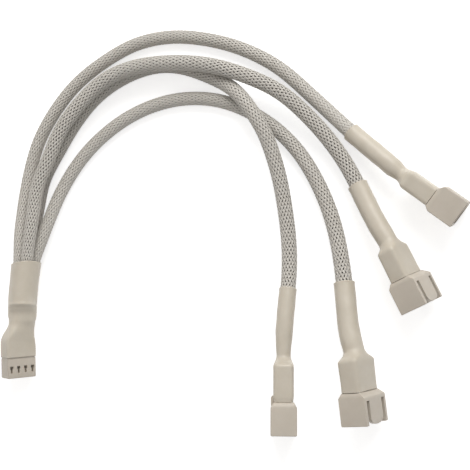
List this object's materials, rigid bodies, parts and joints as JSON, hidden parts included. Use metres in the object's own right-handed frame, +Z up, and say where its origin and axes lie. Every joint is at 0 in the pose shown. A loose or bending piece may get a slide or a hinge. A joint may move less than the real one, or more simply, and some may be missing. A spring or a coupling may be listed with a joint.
{
  "type": "fan splitter cable",
  "caption": "Cable that splits one fan header into several fan outlets, with braided sleeved legs and heat-shrunk plugs and sockets.",
  "frame": {"origin": "centre of the footprint on the surface that the cable lies on", "axes": "+Z up from that surface, +Y from the connectors towards the top of the legs' arcs, +X from the socket end towards the outlets"},
  "size_m": [0.1576, 0.1394, 0.017],
  "materials": {
    "white_nylon": "satin off-white nylon",
    "white_heat_shrink": "satin off-white heat-shrink tubing",
    "white_braid": "woven off-white sleeve",
    "tinned_metal": "bright tin plating",
    "wire_black": "satin black insulation"
  },
  "bodies": {
    "root": {"input_housing": "white_nylon", "input_terminal_1": "tinned_metal", "input_terminal_2": "tinned_metal", "input_terminal_3": "tinned_metal", "input_terminal_4": "tinned_metal", "input_wire_1": "wire_black", "input_wire_2": "wire_black", "input_wire_3": "wire_black", "input_wire_4": "wire_black", "leg_a_shrink": "white_heat_shrink", "leg_a_sleeve": "white_braid", "leg_a_wire_1": "wire_black", "leg_a_wire_2": "wire_black", "leg_a_wire_3": "wire_black", "leg_a_wire_4": "wire_black", "leg_b_shrink": "white_heat_shrink", "leg_b_sleeve": "white_braid", "leg_b_wire_1": "wire_black", "leg_b_wire_2": "wire_black", "leg_b_wire_4": "wire_black", "leg_c_shrink": "white_heat_shrink", "leg_c_sleeve": "white_braid", "leg_c_wire_1": "wire_black", "leg_c_wire_2": "wire_black", "leg_c_wire_4": "wire_black", "leg_d_shrink": "white_heat_shrink", "leg_d_sleeve": "white_braid", "leg_d_wire_1": "wire_black", "leg_d_wire_2": "wire_black", "leg_d_wire_4": "wire_black", "outlet_a_housing": "white_nylon", "outlet_a_pin_1": "tinned_metal", "outlet_a_pin_2": "tinned_metal", "outlet_a_pin_3": "tinned_metal", "outlet_a_pin_4": "tinned_metal", "outlet_b_housing": "white_nylon", "outlet_b_pin_1": "tinned_metal", "outlet_b_pin_2": "tinned_metal", "outlet_b_pin_4": "tinned_metal", "outlet_c_housing": "white_nylon", "outlet_c_pin_1": "tinned_metal", "outlet_c_pin_2": "tinned_metal", "outlet_c_pin_4": "tinned_metal", "outlet_d_housing": "white_nylon", "outlet_d_pin_1": "tinned_metal", "outlet_d_pin_2": "tinned_metal", "outlet_d_pin_4": "tinned_metal", "splice_block": "white_nylon", "trunk_shrink": "white_heat_shrink"}
  },
  "joints": []
}
